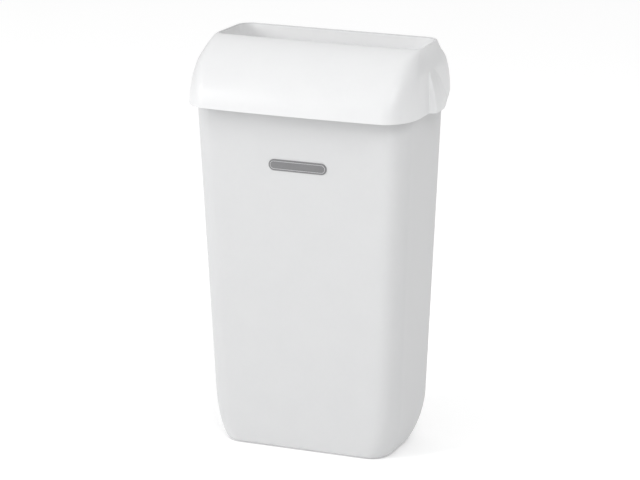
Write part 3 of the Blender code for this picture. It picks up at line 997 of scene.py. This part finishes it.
@dataclass
class Tub:
    """The tapered tub: rounded foot, flanged rim, hook slot and recesses for the pads."""

    wall: float = 0.0028
    floor: float = 0.0045
    corner: float = 0.0288
    rear_corner: float = 0.0176
    side_taper: float = 0.0216
    front_taper: float = 0.019
    side_arc_height: float = 0.0697
    side_arc_inset: float = 0.0142
    rear_arc_height: float = 0.073
    rear_arc_inset: float = 0.040
    arc_reach: float = 0.75
    foot_edge: float = 0.004
    foot_steps: int = 8
    base_dish: float = 0.0006
    arc_rows: int = 34
    side_rows: int = 24
    flange_nose: float = 0.0009
    flange_out: float = 0.004
    flange_height: float = 0.004
    slot_corner: float = 0.0015
    hook_gap: float = 0.002
    hook_travel: float = 0.012
    pad_gap: float = 0.0003
    oblong: Oblong = field(
        default_factory=lambda: Oblong(
            corner_points=32, rear_points=20, front_points=24, side_points=24, back_points=24
        )
    )

    def __post_init__(self) -> None:
        """Read the tub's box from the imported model."""
        low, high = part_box("bin_body")
        self.base, self.top = low.z, high.z
        self.rear = high.y
        self.top_half = high.x - self.flange_out
        self.top_depth = high.y - low.y - self.flange_out

    def arc_inset(self, z: float, height: float, inset: float) -> float:
        """How far a curved foot is drawn in: a slice of an ellipse, full at the base.

        Args:
            z: The height.
            height: Where the curve ends.
            inset: How far it is drawn in at the base.

        Returns:
            The inset at that height.
        """
        share = min(1.0, max(0.0, (height - z) / height))
        full = 1.0 - math.sqrt(1.0 - self.arc_reach)
        return inset * (1.0 - math.sqrt(1.0 - self.arc_reach * share * share)) / full

    def outline(self, z: float, grow: float = 0.0, rear_grow: float | None = None) -> np.ndarray:
        """The tub's outline at a height.

        Width and depth grow straight from the base to the rim, less the foot's curves.

        Args:
            z: The height.
            grow: How far the outline moves outwards.
            rear_grow: The same for the back wall alone.

        Returns:
            An array of points by two.
        """
        rear_grow = grow if rear_grow is None else rear_grow
        left = 1.0 - z / self.top
        half = self.top_half - self.side_taper * left + grow
        half -= self.arc_inset(z, self.side_arc_height, self.side_arc_inset)
        depth = self.top_depth - self.front_taper * left
        rear = self.rear - self.arc_inset(z, self.rear_arc_height, self.rear_arc_inset) + rear_grow
        front = self.rear - depth - grow
        return self.oblong.ring(half, half, front, rear, self.corner + grow, self.rear_corner + grow)

    def level_rings(
        self, level: float, pairs: np.ndarray, rear_grow: float | None = None
    ) -> list[np.ndarray]:
        """Rings that all start from the tub's outline at one level.

        Args:
            level: The level of the outline.
            pairs: For each ring, how far the outline moves outwards, and the ring's height.
            rear_grow: How far the back wall alone moves, if it stays behind.

        Returns:
            The rings.
        """
        return [lifted(self.outline(level, grow, rear_grow), z) for grow, z in pairs]

    def plate_rings(self, edge: np.ndarray, height: float, dish: float) -> list[np.ndarray]:
        """Rings that close a flat plate towards its middle, with a shallow dish.

        Each ring is the edge shrunk to a share of its size; the dish rises by a smooth step over
        the outer eighth.

        Args:
            edge: The plate's edge outline.
            height: The plate's height at its edge.
            dish: How far its middle stands above the edge.

        Returns:
            The rings from the middle to the edge.
        """
        centre = edge.mean(axis=0)
        shares = np.concatenate([np.linspace(0.02, 0.72, 5), np.linspace(0.78, 0.985, 10)])
        rise = dish * smoothstep((0.97 - shares) / 0.12)
        return [lifted(centre + (edge - centre) * share, height + up) for share, up in zip(shares, rise)]

    def build_shell(self) -> Piece:
        """Build the tub as one closed shell, from the base's middle up and down inside.

        Returns:
            The shell.
        """
        radius = self.foot_edge
        base_edge = self.outline(0.0, -radius)
        rows = self.plate_rings(base_edge, self.base, self.base_dish)
        for grow, z in arc((-radius, self.base + radius), radius, -90.0, 0.0, self.foot_steps):
            rows.append(lifted(self.outline(z - self.base, grow), z))
        arc_top = max(self.side_arc_height, self.rear_arc_height)
        flange_low = self.top - self.flange_height - self.flange_out
        levels = list(np.linspace(self.base + radius, arc_top, self.arc_rows)[1:])
        levels += list(np.linspace(arc_top, flange_low, self.side_rows)[1:])
        rows += [lifted(self.outline(z), z) for z in levels]
        rows += self.flange_rings()
        for z in levels[::-1]:
            rows.append(lifted(self.outline(z, -self.wall), z + self.floor * (1.0 - z / self.top)))
        floor_z = self.base + self.floor
        hollow = arc((-self.wall - radius, floor_z + radius), radius, 0.0, -90.0, self.foot_steps)
        rows += self.level_rings(radius, hollow)
        floor_edge = self.outline(radius, -self.wall - radius)
        rows += self.plate_rings(floor_edge, floor_z, 0.0)[::-1]
        return grid_object("tub_shell", np.stack(rows), TUB_WHITE, caps=True)

    def flange_rings(self) -> list[np.ndarray]:
        """Rings of the rim's flange: a hollow fillet below it, a round nose and a round inner edge.

        Returns:
            The rings from the outside to the inside.
        """
        out, nose = self.flange_out, self.flange_nose
        start = (out, self.top - self.flange_height - out)
        rows = []
        for grow, z in arc(start, out, 180.0, 90.0, ROUND_STEPS + 1)[1:]:
            rows.append(lifted(self.outline(z, grow, 0.0), z))
        outer = arc((out - nose, self.top - nose), nose, 0.0, 90.0, ROUND_STEPS)
        rows += self.level_rings(self.top, outer, 0.0)
        inner = arc((nose - self.wall, self.top - nose), nose, 90.0, 180.0, ROUND_STEPS)
        return rows + self.level_rings(self.top, inner)

    def slot_cutter(self) -> Piece:
        """A round-cornered bar that cuts the hook's slot through the back wall."""
        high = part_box("wall_hook")[1]
        fold_top = high.z - WallHook.tongue
        half_width = high.x + self.hook_gap
        bottom = fold_top - WallHook.sheet - self.hook_travel - self.pad_gap
        corner = self.slot_corner
        flat = Oblong(8, 8, 1, 1, 1).ring(
            half_width, half_width, bottom, fold_top + self.pad_gap, corner, corner
        )
        near = np.column_stack([flat[:, 0], np.full(len(flat), self.rear + self.wall), flat[:, 1]])
        far = near - [0.0, 3.0 * self.wall, 0.0]
        return grid_object("slot_cutter", np.stack([near, far]), TUB_WHITE, caps=True)

    def pad_cutter(self, node: str) -> Piece:
        """A short cylinder that cuts one pad's recess in the base."""
        low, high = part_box(node)
        centre = ((low.x + high.x) / 2.0, (low.y + high.y) / 2.0)
        ring = circle(centre, (high.x - low.x) / 2.0 + self.pad_gap, 48)
        grid = np.stack([lifted(ring, low.z - self.pad_gap), lifted(ring, high.z + self.pad_gap)])
        return grid_object(f"cutter_{node}", grid, TUB_WHITE, caps=True)

    def build(self) -> None:
        """Build the tub, cut its slot and recesses, and seat it on its body."""
        shell = self.build_shell()
        pads = sorted(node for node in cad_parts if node.startswith("foot_pad"))
        cut(shell, [self.slot_cutter()] + [self.pad_cutter(node) for node in pads])
        seat(shell, Body.TUB, TUB_WHITE, "bin_body")


@dataclass
class BagRing:
    """The bag's ring: a flat flange on the tub's rim and a wall that drops inside it."""

    flange: float = 0.0025
    wall: float = 0.0022
    nose: float = 0.0008
    fillet: float = 0.0009
    gap: float = 0.001
    step: float = 0.003
    tub: Tub = field(default_factory=Tub)

    def build(self) -> None:
        """Build the ring as one closed loop of rounded edges and seat it."""
        low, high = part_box("bag_ring")
        tub, nose, fillet = self.tub, self.nose, self.fillet
        radius, half = self.wall / 2.0, self.flange / 2.0
        neck = -tub.wall - self.gap
        throat = neck - self.wall
        under = high.z - self.flange
        first = low.z + self.step
        rows = tub.level_rings(low.z, arc((neck - radius, low.z + radius), radius, -180.0, 0.0, 9))
        for z in np.linspace(first, under - self.step / 2.0, ROUND_STEPS):
            rows.append(lifted(tub.outline(z, neck), z))
        hollow = arc((neck + fillet, under - fillet), fillet, 180.0, 90.0, ROUND_STEPS)
        rows += tub.level_rings(tub.top, hollow)
        edge = arc((tub.flange_out - nose, under + half), nose, -90.0, 90.0, 9, half / nose)
        rows += tub.level_rings(tub.top, edge, 0.0)
        mouth = arc((throat + nose, high.z - nose), nose, 90.0, 180.0, ROUND_STEPS)
        rows += tub.level_rings(tub.top, mouth)
        for z in np.linspace(under - self.step, first, ROUND_STEPS):
            rows.append(lifted(tub.outline(z, throat), z))
        ring = grid_object("bag_ring_loop", np.stack(rows), RING_WHITE, loop=True)
        seat(ring, Body.RING, RING_WHITE, "bag_ring")


@dataclass
class WallHook:
    """The steel hook: a plate on the wall, folded through the slot and up behind the tub's wall."""

    sheet: float = 0.0016
    tongue: float = 0.012
    bend: float = 0.0014
    edge: float = 0.0004
    hole_radius: float = 0.0023
    countersink: float = 1.75
    hole_spacing: float = 0.036

    def build(self) -> None:
        """Build the folded sheet, drill it and seat it."""
        low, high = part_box("wall_hook")
        plate_top = high.z - self.tongue
        outer = np.array(
            [
                (high.y, low.z),
                (high.y, plate_top),
                (low.y + self.sheet, plate_top),
                (low.y + self.sheet, high.z),
            ]
        )
        inner = np.array(
            [
                (low.y, high.z),
                (low.y, plate_top - self.sheet),
                (high.y - self.sheet, plate_top - self.sheet),
                (high.y - self.sheet, low.z),
            ]
        )
        path = np.concatenate([self.folded(outer, self.bend), self.folded(inner, self.bend)])
        half, inner_half = high.x, high.x - self.edge
        places = (-half, -inner_half, inner_half, half)
        rings = [np.column_stack([np.full(len(path), x), path]) for x in places]
        piece = grid_object("wall_hook_sheet", np.stack(rings), HOOK_STEEL)
        close_ends(piece, len(path), len(rings))
        outward(piece)
        hole_z = plate_top - self.sheet - (plate_top - self.sheet - low.z) / 2.0
        cutters = [
            self.hole_cutter(sign * self.hole_spacing / 2.0, high.y, hole_z) for sign in (-1.0, 1.0)
        ]
        cut(piece, cutters)
        seat(piece, Body.HOOK, HOOK_STEEL, "wall_hook")

    def folded(self, corners: np.ndarray, radius: float) -> np.ndarray:
        """Round the inner corners of a path of straight runs by small arcs.

        Each corner point is replaced by a quadratic curve between the points a radius before and
        after it.

        Args:
            corners: The path's corners.
            radius: The distance from a corner where its curve starts.

        Returns:
            The rounded path.
        """
        points = [corners[:1]]
        shares = np.linspace(0.0, 1.0, 6)[:, None]
        for before, corner, after in zip(corners[:-2], corners[1:-1], corners[2:]):
            back, ahead = before - corner, after - corner
            start = corner + back / np.linalg.norm(back) * min(radius, np.linalg.norm(back) / 2.1)
            end = corner + ahead / np.linalg.norm(ahead) * min(radius, np.linalg.norm(ahead) / 2.1)
            curve = start * (1.0 - shares) ** 2 + 2.0 * corner * shares * (1.0 - shares) + end * shares**2
            points.append(curve)
        points.append(corners[-1:])
        return np.concatenate(points)

    def hole_cutter(self, x: float, back: float, z: float) -> Piece:
        """A countersunk drill: a cylinder that widens towards the tub.

        Args:
            x: The hole's place across.
            back: The plate's back face.
            z: The hole's height.

        Returns:
            The cutter.
        """
        rings = []
        face = back - self.sheet
        steps = ((back + 0.001, 1.0), (face + 0.0009, 1.0), (face - 0.0005, self.countersink))
        for y, scale in steps:
            ring = circle((x, z), self.hole_radius * scale, 32)
            rings.append(np.column_stack([ring[:, 0], np.full(len(ring), y), ring[:, 1]]))
        piece = grid_object("hole_cutter", np.stack(rings), HOOK_STEEL, caps=True)
        outward(piece)
        return piece


def close_ends(piece: Piece, count: int, rings: int) -> None:
    """Fill a grid's first and last ring with one flat face each.

    Args:
        piece: The grid's object.
        count: Points in a ring.
        rings: How many rings it has.
    """
    shell = bmesh.new()
    shell.from_mesh(piece.data)
    shell.verts.ensure_lookup_table()
    shell.faces.new([shell.verts[i] for i in range(count)])
    shell.faces.new([shell.verts[(rings - 1) * count + i] for i in range(count)])
    shell.to_mesh(piece.data)
    shell.free()


@dataclass
class NamePlate:
    """A blank plate with round ends and a fine raised line, on the tub's sloping front."""

    height: float = 0.0155
    thickness: float = 0.0008
    edge: float = 0.0003
    line_inset: float = 0.0022
    line_width: float = 0.0005
    line_height: float = 0.00018
    line_sunk: float = 0.0001
    line_bevel: float = 0.00006
    gap: float = 0.0003
    tub: Tub = field(default_factory=Tub)

    def __post_init__(self) -> None:
        """Find the plate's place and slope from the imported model."""
        low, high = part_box("name_plate")
        self.half = high.x
        slope = math.atan2(self.tub.front_taper, self.tub.top)
        centre_z = (low.z + high.z) / 2.0
        self.out = Vector((0.0, -math.cos(slope), -math.sin(slope)))
        self.up = Vector((0.0, -math.sin(slope), math.cos(slope)))
        spread = self.tub.top_depth - self.tub.front_taper * (1.0 - centre_z / self.tub.top)
        self.centre = Vector((0.0, self.tub.rear - spread, centre_z)) + self.out * self.gap
        self.centre += self.up * (self.thickness / 2.0 * math.sin(slope))

    def placed(self, flat: np.ndarray, stand: float) -> np.ndarray:
        """Carry points from the plate's own plane to the tub's face.

        A point is the centre plus x along X, y up the face and stand away from it.

        Args:
            flat: Points on the plate's plane.
            stand: How far they stand off the face.

        Returns:
            The points in place.
        """
        centre = np.array(self.centre)
        across = np.outer(flat[:, 0], [1.0, 0.0, 0.0])
        up = np.outer(flat[:, 1], np.array(self.up))
        return centre + across + up + stand * np.array(self.out)

    def stadium(self, inset: float) -> np.ndarray:
        """The plate's outline drawn in by an inset: two half circles joined by straight edges."""
        radius = self.height / 2.0 - inset
        middle = self.half - self.height / 2.0
        right = arc((middle, 0.0), radius, -90.0, 90.0, 33)
        left = arc((-middle, 0.0), radius, 90.0, 270.0, 33)
        return np.concatenate([right, left])

    def build(self) -> None:
        """Build the plate and its raised line, and seat both on the tub."""
        radius, edge, face = self.height / 2.0, self.edge, self.thickness
        profile = [(radius * 0.9, 0.0), (0.0, 0.0)]
        profile += list(arc((edge, face - edge), edge, 180.0, 90.0, ROUND_STEPS))
        profile += [(inset, face) for inset in (self.line_inset, radius * 0.6, radius * 0.9)]
        rows = [self.placed(self.stadium(inset), stand) for inset, stand in profile]
        plate = grid_object("name_plate_body", np.stack(rows), PLATE_GREY, caps=True)
        outward(plate)
        seat(plate, Body.TUB, PLATE_GREY, "name_plate")
        first, last = self.line_inset, self.line_inset + self.line_width
        top, sunk, bevel = face + self.line_height, face - self.line_sunk, self.line_bevel
        profile = [(first, sunk), (first, top - bevel), (first + bevel, top)]
        profile += [(last - bevel, top), (last, top - bevel), (last, sunk)]
        rows = [self.placed(self.stadium(inset), stand) for inset, stand in profile]
        line = grid_object("name_plate_line", np.stack(rows), PLATE_LINE, loop=True)
        outward(line)
        seat(line, Body.TUB, PLATE_LINE)


@dataclass
class FootPad:
    """One rubber pad: a turned button with a rounded rim and a shallow ring groove underneath."""

    node: str
    sides: int = 64
    edge: float = 0.0007
    groove: float = 0.0003

    def build(self) -> None:
        """Turn the pad's profile round its axis and seat it."""
        low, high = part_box(self.node)
        centre = ((low.x + high.x) / 2.0, (low.y + high.y) / 2.0)
        radius = (high.x - low.x) / 2.0
        profile = [(0.1 * radius, low.z), (0.42 * radius, low.z), (0.5 * radius, low.z + self.groove)]
        profile += [(0.6 * radius, low.z + self.groove), (0.68 * radius, low.z)]
        turned = (radius - self.edge, low.z + self.edge)
        profile += list(arc(turned, self.edge, -90.0, 0.0, ROUND_STEPS))
        profile += [(radius, high.z), (0.1 * radius, high.z)]
        rows = [lifted(circle(centre, size, self.sides), z) for size, z in profile]
        pad = grid_object(f"{self.node}_rubber", np.stack(rows), PAD_RUBBER, caps=True)
        seat(pad, Body.TUB, PAD_RUBBER, self.node)


@dataclass
class Studio:
    """A plain pale floor, soft lights and the camera."""

    azimuth: float = 22.03
    elevation: float = 15.23
    roll: float = 0.18
    distance: float = 4.1409
    focal: float = 170.65
    sensor: float = 36.0
    shift_right: float = 0.0138
    shift_up: float = 0.00465
    aim_from_rear: float = 0.110
    aim_height: float = 0.290
    base_glow: float = 0.10
    left_glow: float = 0.07
    top_glow: float = 1.0
    key_power: float = 62.0
    key_place: tuple[float, float, float] = (-2.79, -2.79, 1.74)
    key_size: float = 1.5
    fill_power: float = 44.0
    fill_place: tuple[float, float, float] = (2.01, -2.39, 3.11)
    fill_size: float = 1.8
    light_aim: tuple[float, float, float] = (0.0, 0.0, 0.3)
    floor_reach: float = 90.0
    clip_start: float = 0.1
    clip_end: float = 400.0

    def build_floor(self) -> None:
        """Lay the floor."""
        mesh = bpy.data.meshes.new("studio_floor")
        reach = self.floor_reach
        corners = [(-reach, -reach, 0.0), (reach, -reach, 0.0), (reach, reach, 0.0), (-reach, reach, 0.0)]
        mesh.from_pydata(corners, [], [(0, 1, 2, 3)])
        floor = shown("studio_floor", mesh, FLOOR_WHITE)

    def build_world(self) -> None:
        """Give the world a white glow that grows evenly upwards and towards the left."""
        world = bpy.data.worlds.new("studio_world")
        world.use_nodes = True
        tree = world.node_tree
        back = tree.nodes["Background"]
        back.inputs["Color"].default_value = (1.0, 1.0, 1.0, 1.0)
        parts = tree.nodes.new("ShaderNodeSeparateXYZ")
        link(tree, object_direction(tree), parts.inputs["Vector"])
        low, high = self.base_glow, self.base_glow + self.top_glow
        top = map_range(tree, parts.outputs["Z"], 0.0, 1.0, low, high)
        side = map_range(tree, parts.outputs["X"], -1.0, 1.0, self.left_glow, -self.left_glow)
        total = tree.nodes.new("ShaderNodeMath")
        total.operation = "ADD"
        link(tree, top, total.inputs[0])
        link(tree, side, total.inputs[1])
        link(tree, total.outputs["Value"], back.inputs["Strength"])
        bpy.context.scene.world = world

    def area_light(self, name: str, place: tuple[float, ...], size: float, power: float) -> None:
        """Hang a square soft light that faces the bin's middle.

        Args:
            name: The light's name.
            place: Where it hangs.
            size: Its side.
            power: Its power, in watts.
        """
        light = bpy.data.lights.new(name, "AREA")
        light.shape = "SQUARE"
        light.size = size
        light.energy = power
        lamp = bpy.data.objects.new(name, light)
        lamp.location = place
        aim = Vector(self.light_aim) - Vector(place)
        lamp.rotation_mode = "QUATERNION"
        lamp.rotation_quaternion = aim.to_track_quat("-Z", "Y")
        bpy.context.scene.collection.objects.link(lamp)

    def build_camera(self) -> None:
        """Set the camera up to the right of and above the front, far off with a long lens."""
        turn, lift = math.radians(self.azimuth), math.radians(self.elevation)
        back = Vector((math.sin(turn) * math.cos(lift), -math.cos(turn) * math.cos(lift), math.sin(lift)))
        right = Vector((math.cos(turn), math.sin(turn), 0.0))
        up = back.cross(right)
        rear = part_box("hood_lid")[1].y
        aim = Vector((0.0, rear - self.aim_from_rear, self.aim_height))
        data = bpy.data.cameras.new("studio_camera")
        data.sensor_width = self.sensor
        data.lens = self.focal
        data.clip_start, data.clip_end = self.clip_start, self.clip_end
        camera = bpy.data.objects.new("studio_camera", data)
        place = aim + back * self.distance + right * self.shift_right + up * self.shift_up
        turned = Matrix((right, up, back)).transposed() @ Matrix.Rotation(math.radians(self.roll), 3, "Z")
        camera.matrix_world = Matrix.Translation(place) @ turned.to_4x4()
        bpy.context.scene.collection.objects.link(camera)
        bpy.context.scene.camera = camera

    def build(self) -> None:
        """Build the floor, the world, the lights and the camera."""
        self.build_camera()
        self.build_floor()
        self.build_world()
        self.area_light("key_light", self.key_place, self.key_size, self.key_power)
        self.area_light("fill_light", self.fill_place, self.fill_size, self.fill_power)
        bpy.context.scene.view_settings.view_transform = "Standard"
        LOG.info("studio built")


def main() -> None:
    """Build the studio and every sub-assembly in order."""
    logging.basicConfig(level=logging.INFO, format="%(name)s: %(message)s")
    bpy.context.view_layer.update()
    Studio().build()
    Tub().build()
    BagRing().build()
    Hood().build()
    WallHook().build()
    NamePlate().build()
    for node in sorted(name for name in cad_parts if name.startswith("foot_pad")):
        FootPad(node).build()


if __name__ == "__main__":
    main()
